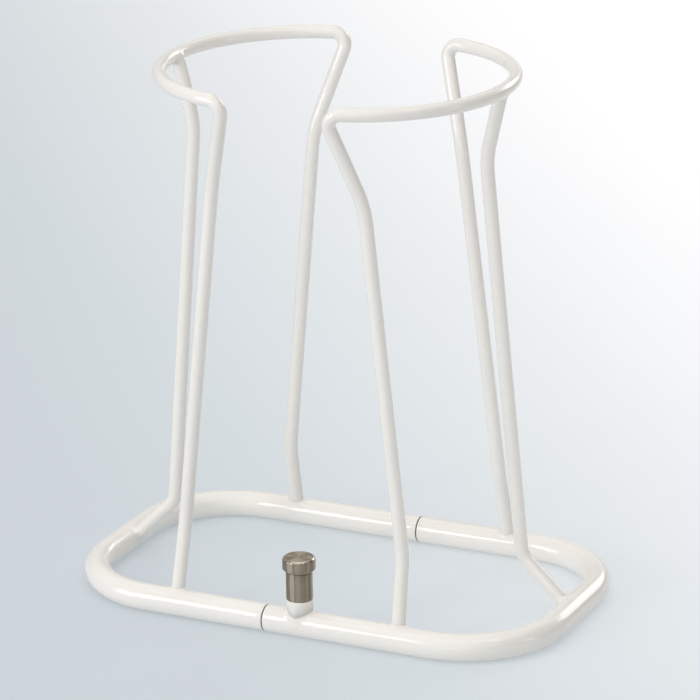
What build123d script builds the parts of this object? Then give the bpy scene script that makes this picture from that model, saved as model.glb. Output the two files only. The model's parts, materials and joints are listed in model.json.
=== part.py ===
from build123d import *
import os
from math import acos, cos, degrees, radians, sin

# Plastic bag holder: two telescoping halves of welded tube and bent round bar.
# Millimetres, +Z up. The origin is the middle of the base ring, on the floor.
# +X is the side that slides out, -Y is the front, which carries the pull plunger.

# Base ring, on its centreline
BASE_HALF_LENGTH = 181.5
BASE_HALF_WIDTH = 100.5
BASE_BEND_RADIUS = 69.5
TUBE_DIAMETER = 20.0
TUBE_WALL = 1.2
SEAM_X = 15.0
SEAM_GAP = 0.3

# Legs and bag hoops, bent from round bar; both halves have the same shape
BAR_DIAMETER = 10.0
LEG_FOOT_X = 88.5
LEG_KNEE = (86.5, 86.5, 68.0)
LEG_SHOULDER = (59.5, 82.5, 321.5)
HOOP_HEIGHT = 392.0
HOOP_RADIUS = 103.0
HOOP_CENTRE_X = 26.0
HOOP_CORNER_X = 38.5
CORNER_STRAIGHT = 13.0
KNEE_BEND_RADIUS = 76.0
SHOULDER_BEND_RADIUS = 87.0
CORNER_BEND_RADIUS = 9.0

# Middle leg, in the plane Y = 0, from the end run of the base up to the hoop
MIDDLE_FOOT_X = 178.5
MIDDLE_KNEE = (141.5, 46.0)
MIDDLE_SHOULDER = (115.5, 341.0)
MIDDLE_TOP_X = 127.0
MIDDLE_KNEE_RADIUS = 16.0
MIDDLE_SHOULDER_RADIUS = 71.0

# Telescoping guides hidden in the base
TRAVEL = 60.0
INDEX_STEPS = 6
INDEX_HOLE_DIAMETER = 6.4
GUIDE_DIAMETER = 16.0
GUIDE_WALL = 1.5
GUIDE_LEFT_X = -95.0
GUIDE_RIGHT_X = 105.0
BUSH_LENGTH = 20.0
BUSH_FLANGE = 0.6
BUSH_FLANGE_DIAMETER = 19.2
SLIDE_CLEARANCE = 0.05
PLUG_WELD_DIAMETER = 6.0
PLUG_WELD_INSETS = (18.0, 62.0)

# Pull plunger on the front run of the right half
PLUNGER_FROM_SEAM = 26.5
BOSS_DIAMETER = 19.5
BOSS_TOP_Z = 29.2
BARREL_DIAMETER = 19.3
BARREL_TOP_Z = 50.1
SPIGOT_DIAMETER = 12.0
SPIGOT_BOTTOM_Z = 18.8
SPRING_BORE = 12.4
SPRING_FLOOR_Z = 31.5
CAP_RING_DIAMETER = 14.0
CAP_RING_HEIGHT = 2.5
PIN_DIAMETER = 6.0
PIN_TIP_Z = 14.5
PIN_TOP_Z = 57.0
PIN_CHAMFER = 1.0
PIN_CLEARANCE = 0.08
COLLAR_DIAMETER = 11.4
COLLAR_HEIGHT = 2.0
SPRING_WIRE = 0.9
SPRING_TURNS = 5
SPRING_DIAMETER = 9.6
KNOB_DIAMETER = 24.0
KNOB_BOTTOM_Z = 50.4
KNOB_TOP_Z = 61.5
KNOB_BEVEL = 2.2
KNOB_ROUNDING = 2.2

# Weld beads
BEAD_WIDTH = 2.4
BEAD_HEIGHT = 1.8
CONTACT_GAP = 0.03

TUBE_RADIUS = TUBE_DIAMETER / 2
TUBE_BORE = TUBE_RADIUS - TUBE_WALL
BAR_RADIUS = BAR_DIAMETER / 2
AXIS_Z = TUBE_RADIUS
PLUNGER_X = PLUNGER_FROM_SEAM - SEAM_X
COLLAR_Z = SPRING_FLOOR_Z + SEAM_GAP
CAP_RING_Z = BARREL_TOP_Z - CAP_RING_HEIGHT
LEFT_TUBE_END = -(SEAM_GAP + BUSH_FLANGE) / 2
RIGHT_TUBE_START = -LEFT_TUBE_END
HALF_TURN = 180


def other_half(shape):
    """The same piece on the other half: turned half a turn about the vertical."""
    return Rot(0, 0, HALF_TURN) * shape


def rod(start, end, radius):
    """A plain round rod from one point to another."""
    start, end = Vector(start), Vector(end)
    plane = Plane(origin=start, z_dir=end - start)
    return extrude(plane * Circle(radius), (end - start).length)


def along_x(x0, x1, y, radius):
    """A rod on the axis of a straight run at the front or rear of the base."""
    return rod((x0, y, AXIS_Z), (x1, y, AXIS_Z), radius)


def upright(x, y, z0, z1, radius):
    """An upright rod."""
    return rod((x, y, z0), (x, y, z1), radius)


# ---------------------------------------------------------------- base ring


def base_tube(front_x, rear_x, end_x):
    """One half of the base ring: thin-walled tube bent into a U."""
    y = BASE_HALF_WIDTH
    corners = [(front_x, -y), (end_x, -y), (end_x, y), (rear_x, y)]
    points = [(px, py, AXIS_Z) for px, py in corners]
    path = FilletPolyline(*points, radius=[BASE_BEND_RADIUS] * 2)
    plane = Plane(origin=path @ 0, z_dir=path % 0)
    outer = sweep(plane * Circle(TUBE_RADIUS), path=path)
    inner = sweep(plane * Circle(TUBE_BORE), path=path)
    return outer - inner


def left_base_tube():
    """The left half's U, with a hole underneath for each plug weld."""
    front = -SEAM_X + LEFT_TUBE_END
    rear = SEAM_X + LEFT_TUBE_END
    tube = base_tube(front, rear, -BASE_HALF_LENGTH)
    for x, y in plug_weld_places():
        tube -= upright(x, y, 0, AXIS_Z, PLUG_WELD_DIAMETER / 2)
    return tube


def right_base_tube():
    """The right half's U, with a hole on top for the plunger."""
    front = -SEAM_X + RIGHT_TUBE_START
    rear = SEAM_X + RIGHT_TUBE_START
    tube = base_tube(front, rear, BASE_HALF_LENGTH)
    hole = SPIGOT_DIAMETER / 2 + CONTACT_GAP
    return tube - upright(PLUNGER_X, -BASE_HALF_WIDTH, AXIS_Z, TUBE_DIAMETER + 1, hole)


# ------------------------------------------------------- legs and bag hoops


def hoop_start():
    """Angle, about the hoop's centre, where its arc leaves the straight at its corner."""
    start_x = HOOP_CORNER_X + CORNER_STRAIGHT
    return degrees(acos((start_x - HOOP_CENTRE_X) / HOOP_RADIUS))


def leg_points():
    """Rear leg of the right half: base tube, knee, shoulder, corner, start of hoop."""
    angle = radians(hoop_start())
    outwards = Vector(cos(angle), sin(angle), 0)
    tangent = Vector(-sin(angle), cos(angle), 0)
    start = Vector(HOOP_CENTRE_X, 0, HOOP_HEIGHT) + outwards * HOOP_RADIUS
    corner = start + tangent * (CORNER_STRAIGHT / sin(angle))
    foot = Vector(LEG_FOOT_X, BASE_HALF_WIDTH, AXIS_Z)
    return [foot, Vector(LEG_KNEE), Vector(LEG_SHOULDER), corner, start]


def hoop_path():
    """Up the rear leg, round the hoop and down the front leg, as one smooth wire."""
    radii = [KNEE_BEND_RADIUS, SHOULDER_BEND_RADIUS, CORNER_BEND_RADIUS]
    leg = FilletPolyline(*leg_points(), radius=radii)
    centre = (HOOP_CENTRE_X, 0, HOOP_HEIGHT)
    arc = CenterArc(centre, HOOP_RADIUS, hoop_start(), -2 * hoop_start())
    return Wire([*leg.edges(), *arc.edges(), *mirror(leg, about=Plane.XZ).edges()])


def swept_bar(path):
    """Round bar along a path."""
    plane = Plane(origin=path @ 0, z_dir=path % 0)
    return sweep(plane * Circle(BAR_RADIUS), path=path)


def base_runs(radius):
    """Rods over the right half's front, rear and end runs."""
    x, y = BASE_HALF_LENGTH, BASE_HALF_WIDTH
    front = along_x(0, 2 * LEG_FOOT_X, -y, radius)
    rear = along_x(0, 2 * LEG_FOOT_X, y, radius)
    end = rod((x, -y, AXIS_Z), (x, y, AXIS_Z), radius)
    return front, rear, end


def hoop_wire():
    """Rear leg, hoop and front leg of the right half, coped onto the base tube."""
    front, rear, _ = base_runs(TUBE_RADIUS + CONTACT_GAP)
    return swept_bar(hoop_path()) - front - rear


def hoop_ring(radius):
    """The right hoop's arc as a full ring of the given bar radius."""
    return Pos(HOOP_CENTRE_X, 0, HOOP_HEIGHT) * Torus(HOOP_RADIUS, radius)


def middle_points():
    """Middle leg of the right half: base tube, knee, shoulder, hoop bar."""
    foot = Vector(MIDDLE_FOOT_X, 0, AXIS_Z)
    knee = Vector(MIDDLE_KNEE[0], 0, MIDDLE_KNEE[1])
    shoulder = Vector(MIDDLE_SHOULDER[0], 0, MIDDLE_SHOULDER[1])
    top = Vector(MIDDLE_TOP_X, 0, HOOP_HEIGHT - BAR_RADIUS / 2)
    return [foot, knee, shoulder, top]


def middle_leg():
    """Middle leg of the right half, coped onto the base tube and under the hoop."""
    radii = [MIDDLE_KNEE_RADIUS, MIDDLE_SHOULDER_RADIUS]
    bar = swept_bar(FilletPolyline(*middle_points(), radius=radii))
    _, _, end = base_runs(TUBE_RADIUS + CONTACT_GAP)
    return bar - end - hoop_ring(BAR_RADIUS + CONTACT_GAP)


# ------------------------------------------------------------------- welds


def bead(start, towards, host, fat_host):
    """A weld bead round a bar where it lands on a host tube or bar."""
    end = start + (towards - start).normalized() * TUBE_DIAMETER
    collar = rod(start, end, BAR_RADIUS + BEAD_WIDTH)
    ring = (collar & fat_host) - host - rod(start, end, BAR_RADIUS + CONTACT_GAP)
    return largest(ring)


def largest(shape):
    """The largest solid of a shape."""
    return sorted(shape.solids(), key=lambda solid: solid.volume)[-1]


def foot_welds():
    """The right half's three weld beads on the base: rear, front and middle."""
    _, rear_host, end_host = base_runs(TUBE_RADIUS + CONTACT_GAP)
    _, rear_fat, end_fat = base_runs(TUBE_RADIUS + BEAD_HEIGHT)
    leg = leg_points()
    middle = middle_points()
    rear_bead = bead(leg[0], leg[1], rear_host, rear_fat)
    middle_bead = bead(middle[0], middle[1], end_host, end_fat)
    return [rear_bead, mirror(rear_bead, about=Plane.XZ), middle_bead]


def hoop_weld():
    """The bead between the middle leg and the underside of the hoop."""
    points = middle_points()
    host = hoop_ring(BAR_RADIUS + CONTACT_GAP)
    fat_host = hoop_ring(BAR_RADIUS + BEAD_HEIGHT)
    return bead(points[3], points[2], host, fat_host)


def plug_weld_places():
    """Where each guide tube is welded into the left half, from below."""
    y = BASE_HALF_WIDTH
    ends = ((-SEAM_X, -y), (SEAM_X, y))
    return [(end_x - inset, end_y) for end_x, end_y in ends for inset in PLUG_WELD_INSETS]


def plug_weld(x, y):
    """Weld metal filling a hole under the left tube, down to the guide tube."""
    plug = upright(x, y, 0, AXIS_Z, PLUG_WELD_DIAMETER / 2 - CONTACT_GAP)
    inside_tube = along_x(x - BAR_DIAMETER, x + BAR_DIAMETER, y, TUBE_RADIUS)
    guide = along_x(x - BAR_DIAMETER, x + BAR_DIAMETER, y, GUIDE_DIAMETER / 2 + CONTACT_GAP)
    return largest((plug & inside_tube) - guide)


# ------------------------------------------------------ telescoping guides


def guide_tube(y):
    """Straight inner tube, fixed in the left half and sliding in the right half."""
    outer = along_x(GUIDE_LEFT_X, GUIDE_RIGHT_X, y, GUIDE_DIAMETER / 2)
    return outer - along_x(GUIDE_LEFT_X, GUIDE_RIGHT_X, y, GUIDE_DIAMETER / 2 - GUIDE_WALL)


def front_guide_tube():
    """The front guide has a row of index holes for the plunger's pin."""
    y = -BASE_HALF_WIDTH
    tube = guide_tube(y)
    for step in range(INDEX_STEPS + 1):
        x = PLUNGER_X + step * TRAVEL / INDEX_STEPS
        tube -= upright(x, y, AXIS_Z, TUBE_DIAMETER, INDEX_HOLE_DIAMETER / 2)
    return tube


def guide_bush(seam_x, y):
    """Thin flanged sleeve in the end of a right-hand tube; its flange fills the seam."""
    start = seam_x + RIGHT_TUBE_START
    sleeve = along_x(start, start + BUSH_LENGTH, y, TUBE_BORE - CONTACT_GAP)
    flange = along_x(start - BUSH_FLANGE, start, y, BUSH_FLANGE_DIAMETER / 2)
    bore = GUIDE_DIAMETER / 2 + SLIDE_CLEARANCE
    return sleeve + flange - along_x(start - 1, start + BUSH_LENGTH + 1, y, bore)


# ------------------------------------------------------------ pull plunger


def at_plunger(z0, z1, diameter):
    """A rod on the plunger's axis."""
    return upright(PLUNGER_X, -BASE_HALF_WIDTH, z0, z1, diameter / 2)


def front_run(radius):
    """A rod on the front run, long enough to shape what stands on it."""
    return along_x(PLUNGER_X - BOSS_DIAMETER, PLUNGER_X + BOSS_DIAMETER, -BASE_HALF_WIDTH, radius)


def plunger_boss():
    """Threaded boss saddled onto the tube."""
    boss = at_plunger(AXIS_Z, BOSS_TOP_Z, BOSS_DIAMETER)
    bore = at_plunger(0, BOSS_TOP_Z, SPIGOT_DIAMETER + 2 * CONTACT_GAP)
    return largest(boss - front_run(TUBE_RADIUS + CONTACT_GAP) - bore)


def boss_weld():
    """The bead between the boss and the tube, no wider than the tube."""
    collar = at_plunger(AXIS_Z, BOSS_TOP_Z, BOSS_DIAMETER + 2 * BEAD_WIDTH)
    above_tube = Pos(PLUNGER_X, -BASE_HALF_WIDTH, TUBE_DIAMETER) * Box(
        2 * BOSS_DIAMETER, TUBE_DIAMETER, TUBE_DIAMETER
    )
    hugging = collar & front_run(TUBE_RADIUS + BEAD_HEIGHT) & above_tube
    core = at_plunger(AXIS_Z, BOSS_TOP_Z, BOSS_DIAMETER + 2 * CONTACT_GAP)
    return largest(hugging - front_run(TUBE_RADIUS + CONTACT_GAP) - core)


def plunger_barrel():
    """Stainless barrel with a spigot into the boss and a bore for the spring."""
    barrel = at_plunger(BOSS_TOP_Z + CONTACT_GAP, BARREL_TOP_Z, BARREL_DIAMETER)
    spigot = at_plunger(SPIGOT_BOTTOM_Z, BARREL_TOP_Z, SPIGOT_DIAMETER)
    body = barrel + spigot
    body -= at_plunger(SPIGOT_BOTTOM_Z, BARREL_TOP_Z, PIN_DIAMETER + 2 * PIN_CLEARANCE)
    body -= at_plunger(SPRING_FLOOR_Z, BARREL_TOP_Z, SPRING_BORE)
    return body - at_plunger(CAP_RING_Z, BARREL_TOP_Z, CAP_RING_DIAMETER + 2 * CONTACT_GAP)


def barrel_cap_ring():
    """Ring closing the barrel over the spring."""
    ring = at_plunger(CAP_RING_Z + CONTACT_GAP, BARREL_TOP_Z, CAP_RING_DIAMETER)
    return ring - at_plunger(CAP_RING_Z, BARREL_TOP_Z, PIN_DIAMETER + 2 * PIN_CLEARANCE)


def plunger_pin():
    """Locking pin with a chamfered tip."""
    pin = at_plunger(PIN_TIP_Z, PIN_TOP_Z, PIN_DIAMETER)
    return chamfer(pin.edges().sort_by(Axis.Z)[0], PIN_CHAMFER)


def spring_collar():
    """Ring fixed on the pin, which the spring pushes down."""
    collar = at_plunger(COLLAR_Z, COLLAR_Z + COLLAR_HEIGHT, COLLAR_DIAMETER)
    return collar - at_plunger(COLLAR_Z, COLLAR_Z + COLLAR_HEIGHT, PIN_DIAMETER + CONTACT_GAP)


def plunger_spring():
    """Compression spring between the collar and the cap ring."""
    low = COLLAR_Z + COLLAR_HEIGHT + SPRING_WIRE
    high = CAP_RING_Z - SPRING_WIRE
    radius = (SPRING_DIAMETER - SPRING_WIRE) / 2
    helix = Helix(pitch=(high - low) / SPRING_TURNS, height=high - low, radius=radius)
    plane = Plane(origin=helix @ 0, z_dir=helix % 0)
    coil = sweep(plane * Circle(SPRING_WIRE / 2), path=helix, is_frenet=True)
    return Pos(PLUNGER_X, -BASE_HALF_WIDTH, low) * coil


def pull_knob():
    """Stainless knob: rounded top edge, bevelled underside, blind bore for the pin."""
    knob = at_plunger(KNOB_BOTTOM_Z, KNOB_TOP_Z, KNOB_DIAMETER)
    rims = knob.edges().sort_by(Axis.Z)
    knob = chamfer(rims[0], KNOB_BEVEL)
    top = knob.edges().filter_by(GeomType.CIRCLE).sort_by(Axis.Z)[-1]
    knob = fillet(top, KNOB_ROUNDING)
    return knob - at_plunger(KNOB_BOTTOM_Z, PIN_TOP_Z + CONTACT_GAP, PIN_DIAMETER + CONTACT_GAP)


def pieces():
    """Every node of the bag holder, by name."""
    y = BASE_HALF_WIDTH
    hoop = hoop_wire()
    leg = middle_leg()
    right_foot_welds = foot_welds()
    right_hoop_weld = hoop_weld()
    return {
        "left_base_tube": left_base_tube(),
        "left_hoop_wire": other_half(hoop),
        "left_middle_leg": other_half(leg),
        "left_foot_welds": Compound([other_half(bead) for bead in right_foot_welds]),
        "left_hoop_weld": other_half(right_hoop_weld),
        "front_guide_tube": front_guide_tube(),
        "rear_guide_tube": guide_tube(y),
        "guide_plug_welds": Compound([plug_weld(*place) for place in plug_weld_places()]),
        "right_base_tube": right_base_tube(),
        "right_hoop_wire": hoop,
        "right_middle_leg": leg,
        "right_foot_welds": Compound(right_foot_welds),
        "right_hoop_weld": right_hoop_weld,
        "front_guide_bush": guide_bush(-SEAM_X, -y),
        "rear_guide_bush": guide_bush(SEAM_X, y),
        "plunger_boss": plunger_boss(),
        "plunger_boss_weld": boss_weld(),
        "plunger_barrel": plunger_barrel(),
        "barrel_cap_ring": barrel_cap_ring(),
        "plunger_spring": plunger_spring(),
        "plunger_pin": plunger_pin(),
        "spring_collar": spring_collar(),
        "pull_knob": pull_knob(),
    }


os.makedirs("parts", exist_ok=True)
for name, piece in pieces().items():
    export_step(piece, f"parts/{name}.step")
    print(name, len(piece.solids()), round(piece.volume))
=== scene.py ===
import json
from math import acos, asin, ceil, cos, pi, radians, sin, sqrt, tan

import bmesh
import bpy
from mathutils import Matrix, Quaternion, Vector, noise


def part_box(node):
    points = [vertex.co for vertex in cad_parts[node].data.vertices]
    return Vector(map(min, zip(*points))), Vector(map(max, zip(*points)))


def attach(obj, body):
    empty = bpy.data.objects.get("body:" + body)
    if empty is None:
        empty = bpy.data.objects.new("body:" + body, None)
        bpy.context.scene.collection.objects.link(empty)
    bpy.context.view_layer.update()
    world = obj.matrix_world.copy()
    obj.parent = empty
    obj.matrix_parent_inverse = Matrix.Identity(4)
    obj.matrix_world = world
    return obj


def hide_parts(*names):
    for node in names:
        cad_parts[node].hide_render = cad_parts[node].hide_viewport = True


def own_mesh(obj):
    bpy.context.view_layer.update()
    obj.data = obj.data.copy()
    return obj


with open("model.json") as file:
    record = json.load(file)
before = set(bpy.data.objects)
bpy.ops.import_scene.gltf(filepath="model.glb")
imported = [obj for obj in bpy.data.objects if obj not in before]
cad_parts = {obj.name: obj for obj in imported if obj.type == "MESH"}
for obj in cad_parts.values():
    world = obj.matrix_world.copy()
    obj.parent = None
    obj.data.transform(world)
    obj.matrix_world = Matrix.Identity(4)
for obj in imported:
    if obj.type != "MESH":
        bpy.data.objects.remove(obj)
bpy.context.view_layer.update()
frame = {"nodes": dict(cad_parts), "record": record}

# Plastic bag holder. Metres, +Z up, in the CAD's frame: -Y is the front, with the pull plunger.
MM = 0.001

# Sizes shared with the CAD. Points are on the axes of tube and bar, on the right half and, for
# the bent bar, on its rear leg. The hoop's arc ends CORNER_STRAIGHT before its corner.
TUBE_RADIUS = 10 * MM
BORE_RADIUS = 8.8 * MM
BAR_RADIUS = 5 * MM
BASE_HALF_LENGTH = 181.5 * MM
BASE_HALF_WIDTH = 100.5 * MM
BASE_BEND_RADIUS = 69.5 * MM
LEG_FOOT = Vector((88.5, 100.5, 10.0)) * MM
LEG_KNEE = Vector((86.5, 86.5, 68.0)) * MM
LEG_SHOULDER = Vector((59.5, 82.5, 321.5)) * MM
LEG_BENDS = (76 * MM, 87 * MM, 9 * MM)
MIDDLE_FOOT = Vector((178.5, 0.0, 10.0)) * MM
MIDDLE_KNEE = Vector((141.5, 0.0, 46.0)) * MM
MIDDLE_SHOULDER = Vector((115.5, 0.0, 341.0)) * MM
MIDDLE_TOP = Vector((127.0, 0.0, 389.5)) * MM
MIDDLE_BENDS = (16 * MM, 71 * MM)
HOOP_CENTRE = Vector((26.0, 0.0, 392.0)) * MM
HOOP_RADIUS = 103 * MM
HOOP_CORNER_X = 38.5 * MM
CORNER_STRAIGHT = 13 * MM
PLUG_WELD_RADIUS = 3 * MM

# Each leg's mesh begins this far up from its foot, inside the tube
LEG_END = 8.7 * MM
MIDDLE_END = 4.7 * MM

# Gaps between fitted pieces: threads and seats, and press fits on the pin
FIT_GAP = 0.03 * MM
PRESS_GAP = 0.015 * MM


# ------------------------------------------------------------------ materials


class Nodes:
    """Short calls for building one material's node tree."""

    def __init__(self, name):
        self.material = bpy.data.materials.new(name)
        self.material.use_nodes = True
        self.tree = self.material.node_tree
        self.shader = self.tree.nodes["Principled BSDF"]
        self.place = self.add("ShaderNodeTexCoord").outputs["Object"]

    def add(self, kind, **settings):
        node = self.tree.nodes.new(kind)
        for key, value in settings.items():
            setattr(node, key, value)
        return node

    def link(self, source, target):
        self.tree.links.new(source, target)

    def constants(self, **values):
        for name, value in values.items():
            self.shader.inputs[name.replace("_", " ")].default_value = value

    def stretched(self, scale):
        """Object coordinates scaled along each axis."""
        mapping = self.add("ShaderNodeMapping")
        mapping.inputs["Scale"].default_value = scale
        self.link(self.place, mapping.inputs["Vector"])
        return mapping.outputs["Vector"]

    def noise(self, size, detail=2.0, vector=None, rough=0.5):
        """Noise with features of about this size in metres."""
        node = self.add("ShaderNodeTexNoise")
        node.inputs["Scale"].default_value = 1.0 / size
        node.inputs["Detail"].default_value = detail
        node.inputs["Roughness"].default_value = rough
        self.link(vector or self.place, node.inputs["Vector"])
        return node.outputs["Fac"]

    def ranged(self, value, low, high, to_low, to_high):
        """Maps low..high of a value onto to_low..to_high, clamped."""
        node = self.add("ShaderNodeMapRange")
        for socket, number in zip(node.inputs[1:5], (low, high, to_low, to_high)):
            socket.default_value = number
        self.link(value, node.inputs["Value"])
        return node.outputs["Result"]

    def times(self, a, b):
        node = self.add("ShaderNodeMath", operation="MULTIPLY")
        self.link(a, node.inputs[0])
        self.link(b, node.inputs[1])
        return node.outputs["Value"]

    def height(self):
        """Height above the surface that the holder stands on."""
        node = self.add("ShaderNodeSeparateXYZ")
        self.link(self.place, node.inputs["Vector"])
        return node.outputs["Z"]

    def towards(self, direction):
        """How far along a direction, measured from the origin."""
        node = self.add("ShaderNodeVectorMath", operation="DOT_PRODUCT")
        node.inputs[1].default_value = direction
        self.link(self.place, node.inputs[0])
        return node.outputs["Value"]

    def mixed(self, factor, first, second):
        """Mix of two colours; each is an RGB triple or a socket."""
        node = self.add("ShaderNodeMix", data_type="RGBA")
        self.link(factor, node.inputs[0])
        for socket, colour in zip((node.inputs[6], node.inputs[7]), (first, second)):
            if isinstance(colour, tuple):
                socket.default_value = (*colour, 1.0)
            else:
                self.link(colour, socket)
        return node.outputs[2]

    def tinted(self, first, second):
        """Two colours multiplied."""
        node = self.add("ShaderNodeMix", data_type="RGBA", blend_type="MULTIPLY")
        node.inputs[0].default_value = 1.0
        self.link(first, node.inputs[6])
        self.link(second, node.inputs[7])
        return node.outputs[2]

    def bump(self, height, distance, under=None):
        """A bump layer, over another one where one is given."""
        node = self.add("ShaderNodeBump")
        node.inputs["Distance"].default_value = distance
        self.link(height, node.inputs["Height"])
        if under is not None:
            self.link(under, node.inputs["Normal"])
        return node.outputs["Normal"]

    def finish(self, colour, roughness, normal):
        self.link(colour, self.shader.inputs["Base Color"])
        self.link(roughness, self.shader.inputs["Roughness"])
        self.link(normal, self.shader.inputs["Normal"])
        return self.material


def powder_coat():
    """Warm off-white gloss powder coat: orange peel, tone drift, specks, scuffs where it stands."""
    n = Nodes("powder_coat")
    drift = n.ranged(n.noise(60 * MM, 3), 0.35, 0.65, 0.0, 1.0)
    tone = n.mixed(drift, (0.874, 0.842, 0.798), (0.862, 0.827, 0.780))
    specks = n.ranged(n.noise(0.55 * MM, 3), 0.68, 0.76, 0.0, 0.08)
    tone = n.mixed(specks, tone, (0.60, 0.57, 0.52))
    near_floor = n.ranged(n.height(), 0.25 * MM, 0.9 * MM, 1.0, 0.0)
    scratches = n.noise(1.4 * MM, 6, vector=n.stretched((0.25, 1.0, 1.0)), rough=0.7)
    scuffed = n.times(near_floor, n.ranged(scratches, 0.42, 0.62, 0.25, 1.0))
    colour = n.mixed(scuffed, tone, (0.42, 0.40, 0.375))
    worn = n.ranged(n.noise(25 * MM, 4), 0.3, 0.7, 0.21, 0.265)
    peel = n.bump(n.noise(3.0 * MM, 1), 0.0045 * MM)
    grain = n.bump(n.noise(0.6 * MM, 1), 0.0006 * MM, under=peel)
    n.constants(Coat_Weight=0.55, Coat_Roughness=0.02, Coat_IOR=1.5, IOR=1.5)
    return n.finish(colour, worn, grain)


def turned_steel(name, colour, line_size, roughness, spread):
    """Satin stainless steel turned about an upright axis.

    Its fine tool lines run round the axis and draw highlights out up and down; spread says how
    much, from 0 to 1."""
    n = Nodes(name)
    cut = n.noise(line_size, 2, vector=n.stretched((0.02, 0.02, 1.0)), rough=0.6)
    groove = tuple(0.93 * part for part in colour)
    tone = n.mixed(n.ranged(cut, 0.35, 0.65, 0.0, 1.0), groove, colour)
    smooth, dull = roughness - 0.015, roughness + 0.015
    handled = n.ranged(n.noise(9 * MM, 2), 0.3, 0.7, smooth, dull)
    normal = n.bump(cut, 0.0004 * MM)
    tangent = n.add("ShaderNodeTangent", direction_type="RADIAL", axis="Z")
    n.link(tangent.outputs["Tangent"], n.shader.inputs["Tangent"])
    n.constants(Metallic=1.0, Anisotropic=spread, Anisotropic_Rotation=0.25)
    return n.finish(tone, handled, normal)


def zinc_plate():
    """Bright zinc-plated tube: faint drawn lines along it and a cloudy, slightly warm bloom."""
    n = Nodes("zinc_plate")
    drawn = n.noise(0.5 * MM, 4, vector=n.stretched((0.04, 1.0, 1.0)), rough=0.65)
    cloud = n.ranged(n.noise(14 * MM, 4), 0.35, 0.65, 0.0, 1.0)
    colour = n.mixed(cloud, (0.62, 0.63, 0.645), (0.66, 0.64, 0.60))
    rough = n.ranged(drawn, 0.3, 0.7, 0.29, 0.38)
    normal = n.bump(drawn, 0.003 * MM)
    n.constants(Metallic=1.0)
    return n.finish(colour, rough, normal)


def dark_nylon():
    """Dark grey moulded nylon with a fine mould grain."""
    n = Nodes("dark_nylon")
    colour = n.mixed(n.noise(3 * MM, 3), (0.022, 0.023, 0.025), (0.038, 0.039, 0.042))
    rough = n.ranged(n.noise(1 * MM, 2), 0.3, 0.7, 0.42, 0.58)
    normal = n.bump(n.noise(0.25 * MM, 2), 0.006 * MM)
    n.constants(Specular_IOR_Level=0.25)
    return n.finish(colour, rough, normal)


def spring_wire():
    """Drawn spring wire: dark grey steel with die lines and a thin oil film."""
    n = Nodes("spring_wire")
    lines = n.noise(0.12 * MM, 3, rough=0.7)
    colour = n.mixed(lines, (0.30, 0.30, 0.31), (0.46, 0.455, 0.45))
    rough = n.ranged(lines, 0.3, 0.7, 0.29, 0.40)
    normal = n.bump(lines, 0.002 * MM)
    n.constants(Metallic=1.0, Coat_Weight=0.2, Coat_Roughness=0.1)
    return n.finish(colour, rough, normal)


PAINT = powder_coat()
STEEL_SIDE = turned_steel(
    "turned_steel", (0.385, 0.33, 0.26), line_size=0.3 * MM, roughness=0.40, spread=1.0
)
STEEL_PLAIN = turned_steel(
    "ground_steel", (0.60, 0.56, 0.51), line_size=0.15 * MM, roughness=0.22, spread=0.4
)
STEEL_EDGE = turned_steel(
    "polished_steel", (0.52, 0.47, 0.40), line_size=0.3 * MM, roughness=0.15, spread=0.3
)
ZINC = zinc_plate()
NYLON = dark_nylon()
SPRING = spring_wire()
BY_SLOT = {
    "frame_paint": PAINT,
    "stainless": STEEL_PLAIN,
    "zinc_steel": ZINC,
    "dark_nylon": NYLON,
    "spring_steel": SPRING,
}


def finish_cad_nodes():
    """Gives every CAD node the material of its slot."""
    for part in frame["record"]["subparts"]:
        obj = frame["nodes"][part["node"]]
        obj.data.materials.clear()
        obj.data.materials.append(BY_SLOT[part["material_slot"]])


# --------------------------------------------------------------------- meshes


def make_piece(name, body, slot, material, vertices, faces, replaced, holes=()):
    """A closed, smooth-shaded mesh that rides on a body and takes the place of CAD nodes.

    Each hole holds what drill takes after the piece."""
    mesh = bpy.data.meshes.new(name)
    mesh.from_pydata(vertices, [], faces)
    shell = bmesh.new()
    shell.from_mesh(mesh)
    bmesh.ops.recalc_face_normals(shell, faces=shell.faces)
    shell.to_mesh(mesh)
    shell.free()
    mesh.shade_smooth()
    mesh.materials.append(material)
    obj = bpy.data.objects.new(name, mesh)
    bpy.context.scene.collection.objects.link(obj)
    for hole in holes:
        drill(obj, *hole)
    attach(obj, body)
    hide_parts(*replaced)
    return obj


def painted(name, body, shape, replaced, holes=()):
    """A painted piece; shape is its vertices and faces."""
    make_piece(name, body, "frame_paint", PAINT, *shape, [replaced], holes)


SHARP_ANGLE = radians(50)


def drill(obj, x, y, low, high, radius):
    """Cuts an upright round hole through a piece, between two heights."""
    bit = bpy.data.meshes.new("bit")
    vertices, faces = lathe([(0, low), (radius, low), (radius, high), (0, high)], x, y, 64)
    bit.from_pydata(vertices, [], faces)
    cutter = bpy.data.objects.new("cutter", bit)
    bpy.context.scene.collection.objects.link(cutter)
    cut = obj.modifiers.new("hole", "BOOLEAN")
    cut.operation, cut.solver, cut.object = "DIFFERENCE", "EXACT", cutter
    solid = obj.evaluated_get(bpy.context.evaluated_depsgraph_get())
    obj.data = bpy.data.meshes.new_from_object(solid)
    obj.data.set_sharp_from_angle(angle=SHARP_ANGLE)
    obj.modifiers.clear()
    bpy.data.objects.remove(cutter)
    bpy.data.meshes.remove(bit)


def skin(rings, closed_round=True):
    """Faces between rings of equal length; the last ring joins the first if closed_round."""
    count = len(rings[0])
    vertices = [point for ring in rings for point in ring]
    pairs = [(i, i + 1) for i in range(len(rings) - 1)]
    if closed_round:
        pairs.append((len(rings) - 1, 0))
    faces = []
    for a, b in pairs:
        for j in range(count):
            k = (j + 1) % count
            faces.append((a * count + j, a * count + k, b * count + k, b * count + j))
    return vertices, faces


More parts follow.
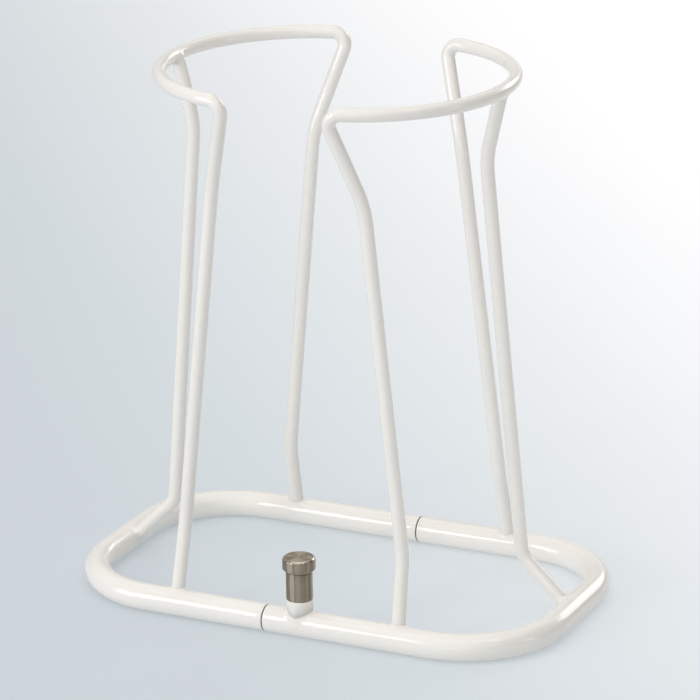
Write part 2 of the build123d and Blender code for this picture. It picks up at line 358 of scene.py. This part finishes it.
def end_caps(vertices, segments):
    """The two polygons that close a skin whose last ring doesn't join its first."""
    last = len(vertices) - segments
    return [tuple(range(segments)), tuple(range(last, last + segments))]


def lathe(profile, centre_x, centre_y, segments=128):
    """A closed profile of (radius, height) turned about an upright axis.

    A profile that starts and ends on the axis gets one vertex at each pole."""
    on_axis = profile[0][0] == 0
    turning = profile[1:-1] if on_axis else profile
    rings = []
    for radius, z in turning:
        ring = []
        for i in range(segments):
            a = 2 * pi * i / segments
            ring.append((centre_x + radius * cos(a), centre_y + radius * sin(a), z))
        rings.append(ring)
    vertices, faces = skin(rings, closed_round=not on_axis)
    if on_axis:
        last = (len(rings) - 1) * segments
        for pole, start in ((profile[0], 0), (profile[-1], last)):
            vertices.append((centre_x, centre_y, pole[1]))
            tip = len(vertices) - 1
            for i in range(segments):
                faces.append((start + i, start + (i + 1) % segments, tip))
    return vertices, faces


def corner(radius, z, size, first, last, steps=6):
    """A rounded corner of a profile: an arc of that size about (radius, z).

    It runs between two angles in degrees, where 0 is outwards and 90 is up."""
    points = []
    for i in range(steps + 1):
        a = radians(first + (last - first) * i / steps)
        points.append((radius + size * cos(a), z + size * sin(a)))
    return points


# ---------------------------------------------------------- bent tube and bar


def mirrored(vector, x, y):
    return Vector((vector.x * x, vector.y * y, vector.z))


def step_towards(start, end, distance):
    """The point that far from start on the way to end."""
    return start.lerp(end, distance / (end - start).length)


def add_straight(path, end, step=6 * MM):
    """Carries a path on in a straight line."""
    start = path[-1]
    count = ceil((end - start).length / step)
    path.extend(start.lerp(end, i / count) for i in range(1, count + 1))


def bent_path(points, bends, step=1.5 * MM):
    """Straight runs through the points, with a round bend at each inner one.

    bends holds the radii of the bends."""
    path = [points[0]]
    for before, corner_point, after, bend in zip(points, points[1:], points[2:], bends):
        back = (before - corner_point).normalized()
        on = (after - corner_point).normalized()
        half = back.angle(on) / 2
        centre = corner_point + (back + on).normalized() * bend / sin(half)
        start = corner_point + back * bend / tan(half)
        arm = start - centre
        turn = pi - 2 * half
        count = ceil(bend * turn / step)
        add_straight(path, start)
        for i in range(1, count + 1):
            path.append(centre + Quaternion(back.cross(arm), turn * i / count) @ arm)
    add_straight(path, points[-1])
    return path


def rings_along(path, radii, segments):
    """A round section carried along a path without twist, with its radius at each point."""
    side = (path[1] - path[0]).orthogonal()
    rings = []
    for i, (point, radius) in enumerate(zip(path, radii)):
        ahead = path[min(i + 1, len(path) - 1)] - path[max(i - 1, 0)]
        side = (side - ahead * side.dot(ahead) / ahead.length_squared).normalized()
        up = ahead.normalized().cross(side)
        angles = [2 * pi * j / segments for j in range(segments)]
        rings.append([point + (side * cos(a) + up * sin(a)) * radius for a in angles])
    return rings


BAR_EDGE = 0.6 * MM


def bar_skin(path, segments=56):
    """Round bar along a path, with softened ends."""
    first = step_towards(path[0], path[1], BAR_EDGE)
    last = step_towards(path[-1], path[-2], BAR_EDGE)
    whole = [path[0], first, *path[1:-1], last, path[-1]]
    end = BAR_RADIUS - BAR_EDGE
    radii = [end] + [BAR_RADIUS] * (len(whole) - 2) + [end]
    vertices, faces = skin(rings_along(whole, radii, segments), closed_round=False)
    return vertices, faces + end_caps(vertices, segments)


LIP = 0.35 * MM
LIP_STEPS = (0, 0.15, 0.5, 1)


def tube_skin(path, segments=80):
    """Open-ended tube along a path, its cut ends deburred to a small round lip."""
    starts = [step_towards(path[0], path[1], k * LIP) for k in LIP_STEPS]
    ends = [step_towards(path[-1], path[-2], k * LIP) for k in LIP_STEPS]
    whole = starts + path[1:-1] + ends[::-1]
    lip_radii = [TUBE_RADIUS - LIP * (1 - sqrt(1 - (1 - k) ** 2)) for k in LIP_STEPS]
    radii = lip_radii + [TUBE_RADIUS] * (len(path) - 2) + lip_radii[::-1]
    outer = rings_along(whole, radii, segments)
    inner = rings_along(whole, [BORE_RADIUS] * len(whole), segments)
    return skin(outer + inner[::-1])


def base_path(side, front_x, rear_x):
    """One U of the base ring, from its front seam round to its rear one."""
    end, y, z = side * BASE_HALF_LENGTH, BASE_HALF_WIDTH, TUBE_RADIUS
    corners = [(front_x, -y, z), (end, -y, z), (end, y, z), (rear_x, y, z)]
    return bent_path([Vector(point) for point in corners], [BASE_BEND_RADIUS] * 2, step=2 * MM)


HALF_HOOP_STEPS = 90


def hoop_path(side):
    """Up the rear leg, round the hoop and down the front leg."""
    angle = acos((HOOP_CORNER_X + CORNER_STRAIGHT - HOOP_CENTRE.x) / HOOP_RADIUS)
    arc = [angle * (1 - i / HALF_HOOP_STEPS) for i in range(2 * HALF_HOOP_STEPS + 1)]
    hoop = [HOOP_CENTRE + Vector((cos(a), sin(a), 0)) * HOOP_RADIUS for a in arc]
    corner_point = hoop[0] + Vector((-sin(angle), cos(angle), 0)) * CORNER_STRAIGHT / sin(angle)
    foot = step_towards(LEG_FOOT, LEG_KNEE, LEG_END)
    leg = bent_path([foot, LEG_KNEE, LEG_SHOULDER, corner_point, hoop[0]], LEG_BENDS)
    front_leg = [Vector((p.x, -p.y, p.z)) for p in reversed(leg)]
    whole = leg + hoop[1:-1] + front_leg
    return [mirrored(point, side, 1) for point in whole]


def middle_path(side):
    """The middle leg, from the end of the base to the underside of the hoop."""
    foot = step_towards(MIDDLE_FOOT, MIDDLE_KNEE, MIDDLE_END)
    path = bent_path([foot, MIDDLE_KNEE, MIDDLE_SHOULDER, MIDDLE_TOP], MIDDLE_BENDS)
    return [mirrored(point, side, 1) for point in path]


# Where each base tube ends at the front seam and at the rear one
SEAMS = {"left": (-15.45 * MM, 14.55 * MM), "right": (-14.55 * MM, 15.45 * MM)}

# Drilled holes, each as x, y, low, high and radius
PLUNGER_HOLE = (11.5 * MM, -BASE_HALF_WIDTH, TUBE_RADIUS, 30 * MM, 6.03 * MM)
PLUG_PLACES = ((-33, -1), (-77, -1), (-3, 1), (-47, 1))
PLUG_HOLES = [
    (x * MM, y * BASE_HALF_WIDTH, -1 * MM, TUBE_RADIUS, PLUG_WELD_RADIUS + 0.02 * MM)
    for x, y in PLUG_PLACES
]
BASE_HOLES = {"left": PLUG_HOLES, "right": [PLUNGER_HOLE]}


def make_frame():
    """Both base tubes, both bent bars of leg and hoop, and both middle legs."""
    for half, side in (("left", -1), ("right", 1)):
        body = half + "_half"
        tube = tube_skin(base_path(side, *SEAMS[half]))
        painted(half + "_bent_tube", body, tube, half + "_base_tube", BASE_HOLES[half])
        painted(half + "_bent_bar", body, bar_skin(hoop_path(side)), half + "_hoop_wire")
        painted(half + "_middle_bar", body, bar_skin(middle_path(side)), half + "_middle_leg")


# ---------------------------------------------------------------------- welds


def line_host(origin, direction):
    """Gives the nearest point on a straight axis."""
    direction = direction.normalized()
    return lambda p: origin + direction * (p - origin).dot(direction)


def hoop_host(centre):
    """Gives the nearest point on a hoop's circular axis."""

    def nearest(p):
        flat = Vector((p.x - centre.x, p.y - centre.y, 0)).normalized()
        return centre + flat * HOOP_RADIUS

    return nearest


def crossing(field, inside, outside, halvings):
    """Where a field changes sign, as the last values just inside and just outside."""
    for _ in range(halvings):
        middle = (inside + outside) / 2
        if field(middle) < 0:
            inside = middle
        else:
            outside = middle
    return inside, outside


TOUCH_STEPS = 40
TOUCH_HALVINGS = 30


def first_touch(gap, far):
    """Coming down from far, where gap(t) first reaches nought, or where it is least."""
    low = -0.5 * TUBE_RADIUS
    best = far
    for i in range(TOUCH_STEPS + 1):
        t = far + (low - far) * i / TOUCH_STEPS
        if gap(t) < 0:
            before = far + (low - far) * (i - 1) / TOUCH_STEPS
            return crossing(gap, t, before, TOUCH_HALVINGS)[1]
        if gap(t) < gap(best):
            best = t
    return best


def ring_noise(a, radius, seed):
    """Noise that closes on itself round a full turn; a larger radius makes it finer."""
    return noise.noise(Vector((radius * cos(a), radius * sin(a), seed)))


# Weld metal sinks a little into its neighbours, and its root goes deeper
WELD_SINK = 0.04 * MM
ROOT_DEPTH = 6 * WELD_SINK
WELD_SEGMENTS = 96
WELD_ARC_STEPS = 10
WELD_BALL = 3.0 * MM
WELD_CROWN = 0.05


def weld_fillet(start, end, nearest, seed):
    """A weld bead between a bar and the tube it stands on, as the inside of a rolling ball.

    The bar runs from start towards end, nearest leads to the tube's axis, and seed sets the
    bead's ripple. The crown is how much its middle bulges, as a share of the ball."""
    along = (end - start).normalized()
    across = along.orthogonal().normalized()
    other = along.cross(across)
    bar = BAR_RADIUS - WELD_SINK
    host = TUBE_RADIUS - WELD_SINK
    root_radius = bar - ROOT_DEPTH
    rings = []
    for i in range(WELD_SEGMENTS):
        a = 2 * pi * i / WELD_SEGMENTS
        out = across * cos(a) + other * sin(a)
        ripple = ring_noise(a, 2.2, seed)
        lumps = ring_noise(a, 6.5, seed + 7)
        ball = WELD_BALL * (1 + 0.13 * ripple + 0.05 * lumps)

        def ball_gap(t):
            middle = start + along * t + out * (bar + ball)
            return (middle - nearest(middle)).length - host - ball

        def root_gap(t):
            point = start + along * t + out * root_radius
            return (point - nearest(point)).length - host + ROOT_DEPTH

        middle = start + along * first_touch(ball_gap, 4 * TUBE_RADIUS) + out * (bar + ball)
        on_bar = (-out).normalized()
        on_host = (nearest(middle) - middle).normalized()
        ring = []
        for j in range(WELD_ARC_STEPS + 1):
            share = j / WELD_ARC_STEPS
            ray = on_bar.slerp(on_host, share) if on_bar.angle(on_host) > 0.01 else on_bar
            bulge = 1 - (WELD_CROWN + 0.05 * lumps) * sin(pi * share) ** 2
            ring.append(middle + ray * ball * bulge)
        root = start + along * first_touch(root_gap, 2 * TUBE_RADIUS) + out * root_radius
        ring.append(root)
        rings.append(ring)
    return skin(rings)


def soft_union(a, b, blend):
    """Distance to two shapes together, rounded off where they meet."""
    share = max(blend - abs(a - b), 0) / blend
    return min(a, b) - share * share * blend / 4


JOINT_STEPS = 28
JOINT_HALVINGS = 24
JOINT_SHELL = 0.8 * MM


def blended_joint(origin, run, rise, bar_radius, nearest, host_radius, height, reach, blends):
    """A thin closed shell over the place where a round bar stands on its host.

    run is the host's direction at the origin, rise the bar's. The shell goes that height up the
    bar and reaches that far over the host. blends are its roundings towards run, against run and
    across, and they fade towards the shell's rim on the host."""
    rise = rise.normalized()
    across = run.cross(rise).normalized()
    along = rise.cross(across)
    host_middle = nearest(origin) - origin

    def depth(point, blend):
        from_origin = point - origin
        up = max(from_origin.dot(rise), 0)
        bar = (from_origin - rise * up).length - bar_radius
        host = (point - nearest(point)).length - host_radius
        return soft_union(bar, host, blend) + WELD_SINK

    rings = []
    for i in range(WELD_SEGMENTS):
        a = 2 * pi * i / WELD_SEGMENTS
        side = abs(sin(a))
        lengthwise = blends[0] if cos(a) > 0 else blends[1]
        blend = lengthwise + (blends[2] - lengthwise) * side**2
        wrap = asin(min(bar_radius * side / host_radius, 1)) + side * reach / host_radius
        over = across * sin(wrap) if sin(a) > 0 else across * -sin(wrap)
        top = rise * height + (along * cos(a) + across * sin(a)) * bar_radius
        end = along * (bar_radius + reach) * cos(a) + (rise * cos(wrap) + over) * host_radius
        end += host_middle
        beyond = 1.5 * max(top.length, end.length)
        outer, inner = [], []
        for j in range(JOINT_STEPS + 1):
            share = j / JOINT_STEPS
            ray = top.normalized().slerp(end.normalized(), share)
            faded = blend * (1.02 - share**4)

            def ray_depth(distance):
                return depth(origin + ray * distance, faded)

            surface = crossing(ray_depth, 0, beyond, JOINT_HALVINGS)[0]
            outer.append(origin + ray * surface)
            inner.append(origin + ray * (surface - JOINT_SHELL))
        rings.append(outer + inner[::-1])
    return skin(rings)


def make_frame_welds():
    """The six foot welds on the base ring and the two under the hoops."""
    for half, side in (("left", -1), ("right", 1)):
        body = half + "_half"
        feet = half + "_foot_welds"
        for place, depth in (("front", -1), ("rear", 1)):
            foot, knee = mirrored(LEG_FOOT, side, depth), mirrored(LEG_KNEE, side, depth)
            host = line_host(foot, Vector((1, 0, 0)))
            bead = weld_fillet(foot, knee, host, seed=3 * side + depth)
            painted(f"{half}_{place}_foot_weld", body, bead, feet)
        foot, knee = mirrored(MIDDLE_FOOT, side, 1), mirrored(MIDDLE_KNEE, side, 1)
        host = line_host(Vector((side * BASE_HALF_LENGTH, 0, TUBE_RADIUS)), Vector((0, 1, 0)))
        bead = weld_fillet(foot, knee, host, seed=10 + side)
        painted(f"{half}_middle_foot_weld", body, bead, feet)
        top = mirrored(MIDDLE_TOP, side, 1)
        bead = blended_joint(
            top, Vector((0, 1, 0)), mirrored(MIDDLE_SHOULDER, side, 1) - top, BAR_RADIUS,
            hoop_host(mirrored(HOOP_CENTRE, side, 1)), BAR_RADIUS,
            height=15 * MM, reach=5 * MM, blends=(4.5 * MM, 4.5 * MM, 2.5 * MM),
        )
        painted(half + "_hoop_weld_bead", body, bead, half + "_hoop_weld")


# -------------------------------------------------------------------- plunger


BOSS_LOW, BOSS_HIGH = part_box("plunger_boss")
BARREL_LOW, BARREL_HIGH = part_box("plunger_barrel")
RING_LOW, RING_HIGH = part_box("barrel_cap_ring")
KNOB_LOW, KNOB_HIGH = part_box("pull_knob")
PIN_LOW, PIN_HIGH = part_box("plunger_pin")
COLLAR_LOW, COLLAR_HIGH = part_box("spring_collar")
SPRING_LOW, SPRING_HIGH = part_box("plunger_spring")
AXIS_X = (BOSS_LOW.x + BOSS_HIGH.x) / 2
AXIS_Y = (BOSS_LOW.y + BOSS_HIGH.y) / 2
BOSS_RADIUS = (BOSS_HIGH.x - BOSS_LOW.x) / 2
BARREL_RADIUS = (BARREL_HIGH.x - BARREL_LOW.x) / 2
RING_RADIUS = (RING_HIGH.x - RING_LOW.x) / 2
KNOB_RADIUS = (KNOB_HIGH.x - KNOB_LOW.x) / 2
PIN_RADIUS = (PIN_HIGH.x - PIN_LOW.x) / 2
COLLAR_RADIUS = (COLLAR_HIGH.x - COLLAR_LOW.x) / 2
SPRING_RADIUS = (SPRING_HIGH.x - SPRING_LOW.x) / 2
SPIGOT_RADIUS = 6 * MM
SPRING_BORE = 6.2 * MM
SPRING_FLOOR = 31.5 * MM
PIN_HOLE = PIN_RADIUS + 0.08 * MM
SPRING_WIRE = 0.45 * MM
SPRING_COILS = 5


def turned(name, body, material, profile, replaced, segments=128):
    """A stainless piece turned about the plunger's axis."""
    shape = lathe(profile, AXIS_X, AXIS_Y, segments)
    return make_piece(name, body, "stainless", material, *shape, [replaced])


BOSS_COLUMNS = 160


def make_boss():
    """Painted boss, saddled on the tube, with a rounded and slightly uneven paint edge on top."""
    bore = SPIGOT_RADIUS + FIT_GAP
    edge = 0.7 * MM
    wall = [(BOSS_RADIUS, BOSS_HIGH.z - edge * (1 + 0.25 * k)) for k in (8, 6, 4, 2)]
    lip = corner(BOSS_RADIUS - edge, BOSS_HIGH.z - edge, edge, 0, 90)
    inside = [(bore + 1.2 * MM, BOSS_HIGH.z), (bore, BOSS_HIGH.z - 0.3 * MM)]
    saddle = TUBE_RADIUS - ROOT_DEPTH
    rings = []
    for i in range(BOSS_COLUMNS):
        a = 2 * pi * i / BOSS_COLUMNS
        uneven = 0.10 * MM * ring_noise(a, 3, 5)
        ring = []
        for radius in (bore, BOSS_RADIUS):
            z = TUBE_RADIUS + sqrt(max(saddle**2 - (radius * sin(a)) ** 2, 0))
            ring.append((AXIS_X + radius * cos(a), AXIS_Y + radius * sin(a), z))
        for radius, z in wall + lip + inside:
            lifted = z + uneven * (z - BOSS_LOW.z) / (BOSS_HIGH.z - BOSS_LOW.z)
            z = min(lifted, BOSS_HIGH.z)
            ring.append((AXIS_X + radius * cos(a), AXIS_Y + radius * sin(a), z))
        rings.append(ring)
    painted("plunger_boss_body", "right_half", skin(rings), "plunger_boss")


def make_boss_weld():
    """The saddle that blends the boss softly into the tube."""
    foot = Vector((AXIS_X, AXIS_Y, TUBE_RADIUS))
    run, rise = Vector((1, 0, 0)), Vector((0, 0, 1))
    shape = blended_joint(
        foot, run, rise, BOSS_RADIUS, line_host(foot, run), TUBE_RADIUS,
        height=17 * MM, reach=6 * MM, blends=(1.6 * MM, 6.0 * MM, 2.6 * MM),
    )
    painted("boss_saddle_weld", "right_half", shape, "plunger_boss_weld")


def make_barrel():
    """Turned barrel: chamfered spigot, softened foot and rim, seat for the ring, spring bore."""
    low = BOSS_HIGH.z + FIT_GAP
    seat = RING_LOW.z - FIT_GAP
    recess = RING_RADIUS + FIT_GAP
    rim = 0.5 * MM
    foot = 0.35 * MM
    chamfer = 0.4 * MM
    bevel = 0.2 * MM
    profile = [(PIN_HOLE, BARREL_LOW.z), (SPIGOT_RADIUS - chamfer, BARREL_LOW.z)]
    profile += [(SPIGOT_RADIUS, BARREL_LOW.z + chamfer), (SPIGOT_RADIUS, low)]
    profile += corner(BARREL_RADIUS - foot, low + foot, foot, -90, 0)
    profile += corner(BARREL_RADIUS - rim, BARREL_HIGH.z - rim, rim, 0, 90)
    profile += [(recess + bevel, BARREL_HIGH.z), (recess, BARREL_HIGH.z - bevel)]
    profile += [(recess, seat), (SPRING_BORE, seat)]
    profile += [(SPRING_BORE, SPRING_FLOOR), (PIN_HOLE, SPRING_FLOOR)]
    turned("turned_barrel", "right_half", STEEL_SIDE, profile, "plunger_barrel")


def make_cap_ring():
    """Pressed ring closing the barrel, with chamfered rims and a bevelled pin hole."""
    bevel = 0.3 * MM
    low, high = RING_LOW.z, RING_HIGH.z - 0.1 * MM
    profile = [(PIN_HOLE, low), (RING_RADIUS - bevel, low), (RING_RADIUS, low + bevel)]
    profile += [(RING_RADIUS, high - bevel), (RING_RADIUS - bevel, high)]
    profile += [(PIN_HOLE + 2 * bevel, high), (PIN_HOLE, high - 2 * bevel)]
    turned("cap_ring", "right_half", STEEL_PLAIN, profile, "barrel_cap_ring", 96)


DOME_RINGS = 8
POLISHED_LEAN = (0.40, 0.95)


def make_knob():
    """Turned pull knob: bevelled underside, soft top edge, faintly domed face, blind pin hole.

    The faces of the soft edge, known by how far their normals lean upwards, are polished."""
    bevel = 2.2 * MM
    soft = 2.2 * MM
    dome = 0.25 * MM
    small = 0.3 * MM
    side_edge = 0.6 * MM
    hole_top = PIN_HIGH.z + FIT_GAP
    hole = PIN_RADIUS + PRESS_GAP
    under = KNOB_RADIUS - bevel - small
    profile = [(0, hole_top), (hole, hole_top), (hole, KNOB_LOW.z + small)]
    profile += [(hole + small, KNOB_LOW.z), (under, KNOB_LOW.z)]
    profile += corner(under, KNOB_LOW.z + small, small, -70, -45, 3)
    side_foot = KNOB_LOW.z + bevel + 0.25 * MM
    profile += corner(KNOB_RADIUS - side_edge, side_foot, side_edge, -45, 0, 4)
    profile += corner(KNOB_RADIUS - soft, KNOB_HIGH.z - dome - soft, soft, 0, 80, 12)
    face_radius, face_z = profile[-1]
    for k in range(1, DOME_RINGS + 1):
        radius = face_radius * (1 - k / DOME_RINGS)
        rise = (KNOB_HIGH.z - face_z) * (1 - (radius / face_radius) ** 2)
        profile.append((radius, face_z + rise))
    knob = turned("turned_pull_knob", "plunger", STEEL_SIDE, profile, "pull_knob")
    knob.data.materials.append(STEEL_EDGE)
    for face in knob.data.polygons:
        if POLISHED_LEAN[0] < face.normal.z < POLISHED_LEAN[1]:
            face.material_index = 1


def make_pin():
    """Hardened pin with a rounded nose."""
    nose = 1.2 * MM
    bevel = 0.3 * MM
    profile = [(0, PIN_LOW.z)]
    profile += corner(PIN_RADIUS - nose, PIN_LOW.z + nose, nose, -90, 0)
    profile += [(PIN_RADIUS, PIN_HIGH.z - bevel), (PIN_RADIUS - bevel, PIN_HIGH.z)]
    profile += [(0, PIN_HIGH.z)]
    turned("locking_pin", "plunger", STEEL_PLAIN, profile, "plunger_pin", 64)


def make_collar():
    """Ring on the pin that takes the spring's push."""
    bevel = 0.3 * MM
    inner = PIN_RADIUS + PRESS_GAP
    low, high = COLLAR_LOW.z, COLLAR_HIGH.z
    profile = [(inner, low), (COLLAR_RADIUS - bevel, low), (COLLAR_RADIUS, low + bevel)]
    profile += [(COLLAR_RADIUS, high - bevel), (COLLAR_RADIUS - bevel, high), (inner, high)]
    turned("pin_collar", "plunger", STEEL_PLAIN, profile, "spring_collar", 64)


SPRING_STEPS = 64 * SPRING_COILS
SPRING_SEGMENTS = 12
CLOSED_TURN = 0.6


def make_spring():
    """Compression spring, closed flat at both ends."""
    radius = SPRING_RADIUS - SPRING_WIRE
    low, high = SPRING_LOW.z + SPRING_WIRE, SPRING_HIGH.z - SPRING_WIRE
    closed = CLOSED_TURN / SPRING_COILS
    up = Vector((0, 0, 1))
    rings = []
    for i in range(SPRING_STEPS + 1):
        share = i / SPRING_STEPS
        rise = min(max((share - closed) / (1 - 2 * closed), 0), 1)
        a = 2 * pi * SPRING_COILS * share
        out = Vector((cos(a), sin(a), 0))
        middle = Vector((AXIS_X, AXIS_Y, low + (high - low) * rise)) + out * radius
        ring = []
        for j in range(SPRING_SEGMENTS):
            b = 2 * pi * j / SPRING_SEGMENTS
            ring.append(middle + (out * cos(b) + up * sin(b)) * SPRING_WIRE)
        rings.append(ring)
    vertices, faces = skin(rings, closed_round=False)
    faces += end_caps(vertices, SPRING_SEGMENTS)
    spring = make_piece(
        "barrel_spring", "right_half", "spring_steel", SPRING, vertices, faces, ["plunger_spring"]
    )
    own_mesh(spring)


# ---------------------------------------------------------------------- stage

CAMERA_AZIMUTH = 25.747
CAMERA_ELEVATION = 19.010
CAMERA_DISTANCE = 3.0153
CAMERA_ROLL = -1.03
CAMERA_LENS = 214.02
CAMERA_AIM = Vector((0.0065, 0.0, 0.1843))
LIGHT_AIM = Vector((0, 0, 0.15))


def compass(azimuth, elevation):
    """Unit vector from the object; azimuth 0 is the front, -Y, and 90 is +X."""
    a, e = radians(azimuth), radians(elevation)
    return Vector((sin(a) * cos(e), -cos(a) * cos(e), sin(e)))


def place_camera():
    """A long lens, looking down a little from the front right."""
    data = bpy.data.cameras.new("camera")
    data.lens = CAMERA_LENS
    data.sensor_width = 36
    data.clip_start, data.clip_end = 0.1, 100
    camera = bpy.data.objects.new("camera", data)
    bpy.context.scene.collection.objects.link(camera)
    back = compass(CAMERA_AZIMUTH, CAMERA_ELEVATION)
    camera.location = CAMERA_AIM + back * CAMERA_DISTANCE
    turn = (-back).to_track_quat("-Z", "Y").to_matrix().to_4x4()
    roll = radians(CAMERA_ROLL)
    camera.rotation_euler = (turn @ Matrix.Rotation(roll, 4, "Z")).to_euler()
    bpy.context.scene.camera = camera


def softbox(name, azimuth, elevation, distance, width, height, power):
    """A rectangular white softbox facing the holder, hidden from the camera.

    Angles are in degrees, lengths in metres and the power in watts."""
    data = bpy.data.lights.new(name, "AREA")
    data.shape = "RECTANGLE"
    data.size, data.size_y = width, height
    data.energy = power
    light = bpy.data.objects.new(name, data)
    bpy.context.scene.collection.objects.link(light)
    out = compass(azimuth, elevation)
    light.location = LIGHT_AIM + out * distance
    light.rotation_euler = out.to_track_quat("Z", "Y").to_euler()
    light.visible_camera = False


def light_studio():
    """A key and a fill from the left, soft boxes all round, and small ones for the steel."""
    softbox("key", -29, 20, 2.4, 0.50, 0.76, 9.6)
    softbox("left_low", -49, 13, 2.6, 1.0, 1.0, 12.5)
    softbox("overhead", 0, 88, 2.4, 2.8, 2.8, 14)
    softbox("front_high", 0, 60, 2.4, 2.2, 1.6, 4.5)
    softbox("front_fill", 12, 30, 3.4, 2.4, 1.6, 6.3)
    softbox("front_low", 8, 8, 2.6, 1.6, 0.5, 3.4)
    softbox("side_strip", 74, 62, 2.4, 0.30, 0.7, 2)
    softbox("rim_strip", 90, 12, 2.4, 0.22, 0.9, 2.4)
    softbox("front_spot", 53, 30, 2.4, 0.22, 0.25, 0.7)
    softbox("right_high", 100, 60, 2.4, 1.2, 1.0, 1.5)
    softbox("back_panel", 163.5, 22.5, 4.0, 2.0, 1.3, 27)
    softbox("rear_low", 180, 10, 2.6, 1.8, 0.5, 1.7)
    softbox("rear_high", 200, 48, 2.8, 2.6, 1.4, 6)
    bpy.context.scene.view_settings.view_transform = "Standard"


def set_stops(ramp, stops):
    """Sets a colour ramp's stops, each a position and an RGB colour."""
    elements = ramp.color_ramp.elements
    while len(elements) < len(stops):
        elements.new(0.5)
    for element, (position, colour) in zip(elements, stops):
        element.position = position
        element.color = (*colour, 1)


# The surround's strength from straight opposite the dark flag, 0, to the flag itself, 1
AIR_STRENGTHS = ((0.0, 0.28), (0.5, 0.67), (0.75, 0.29), (1.0, 0.05))
AIR_COLOUR = Vector((1.0, 0.985, 0.965))
FLAG_AZIMUTH = 115


def fill_air():
    """World light: a pale surround that dims towards a dark flag on the right."""
    world = bpy.data.worlds.new("studio_air")
    world.use_nodes = True
    tree = world.node_tree
    place = tree.nodes.new("ShaderNodeTexCoord")
    toward = tree.nodes.new("ShaderNodeVectorMath")
    toward.operation = "DOT_PRODUCT"
    toward.inputs[1].default_value = compass(FLAG_AZIMUTH, 0)
    spread = tree.nodes.new("ShaderNodeMapRange")
    spread.inputs["From Min"].default_value = -1
    ramp = tree.nodes.new("ShaderNodeValToRGB")
    set_stops(ramp, [(position, AIR_COLOUR * strength) for position, strength in AIR_STRENGTHS])
    tree.links.new(place.outputs["Generated"], toward.inputs[0])
    tree.links.new(toward.outputs["Value"], spread.inputs["Value"])
    tree.links.new(spread.outputs["Result"], ramp.inputs["Fac"])
    tree.links.new(ramp.outputs["Color"], tree.nodes["Background"].inputs["Color"])
    bpy.context.scene.world = world


# The floor's colours along one direction, between two distances from the origin: a painted light
# gradient that brightens it to white on the far right
FLOOR_TOWARDS = Vector((0.771, 0.704, 0.0))
FLOOR_NEAR, FLOOR_FAR = -0.30, 0.76
FLOOR_STOPS = (
    (0.00, (0.561, 0.607, 0.645)),
    (0.14, (0.577, 0.622, 0.661)),
    (0.28, (0.620, 0.670, 0.699)),
    (0.42, (0.692, 0.733, 0.760)),
    (0.57, (0.777, 0.807, 0.831)),
    (0.72, (0.871, 0.882, 0.902)),
    (0.86, (0.943, 0.948, 0.956)),
    (1.00, (0.990, 0.990, 0.990)),
)
FLOOR_GLOW = 0.55
FLOOR_RADIUS = 9
FLOOR_GAP = 0.15 * MM

# Its painted shade, darkening it far off to the right and towards the front: a direction, the
# distances where the darkening starts and ends, and what is left there
PAINTED_SHADE_RIGHT = (Vector((0.901, 0.434, 0.0)), 0.42, 1.3, 0.66)
PAINTED_SHADE_FRONT = (Vector((0.434, -0.901, 0.0)), 0.24, 1.3, 0.85)


def floor_material():
    """Pale glowing table with painted light, brightening to white on the far right, and painted
    shade far off to the right and front; its glow softens the shadows.
    """
    n = Nodes("pale_floor")
    share = n.ranged(n.towards(FLOOR_TOWARDS), FLOOR_NEAR, FLOOR_FAR, 0.0, 1.0)
    painted_shade = []
    for direction, start, end, left in (PAINTED_SHADE_RIGHT, PAINTED_SHADE_FRONT):
        painted_shade.append(n.ranged(n.towards(direction), start, end, 1.0, left))
    ramp = n.add("ShaderNodeValToRGB")
    set_stops(ramp, FLOOR_STOPS)
    n.link(share, ramp.inputs["Fac"])
    # Painted light and shade: the ramp's gradient times the darkening, used as both the floor's
    # colour and its glow
    pale = n.mixed(n.times(*painted_shade), (0.0, 0.0, 0.0), ramp.outputs["Color"])
    matt = n.mixed(n.noise(0.8, 2), (0.53, 0.53, 0.53), (0.56, 0.56, 0.56))
    n.link(n.tinted(matt, pale), n.shader.inputs["Base Color"])
    n.link(pale, n.shader.inputs["Emission Color"])
    n.constants(Roughness=0.9, Specular_IOR_Level=0.1, Emission_Strength=FLOOR_GLOW)
    return n.material


def lay_floor():
    """A wide round floor, a hair below the base ring."""
    mesh = bpy.data.meshes.new("floor")
    disc = bmesh.new()
    bmesh.ops.create_circle(disc, cap_ends=True, radius=FLOOR_RADIUS, segments=96)
    disc.to_mesh(mesh)
    disc.free()
    mesh.materials.append(floor_material())
    floor = bpy.data.objects.new("floor", mesh)
    bpy.context.scene.collection.objects.link(floor)
    floor.location.z = -FLOOR_GAP


finish_cad_nodes()
make_frame()
make_frame_welds()
make_boss()
make_boss_weld()
make_barrel()
make_cap_ring()
make_knob()
make_pin()
make_collar()
make_spring()
place_camera()
light_studio()
fill_air()
lay_floor()
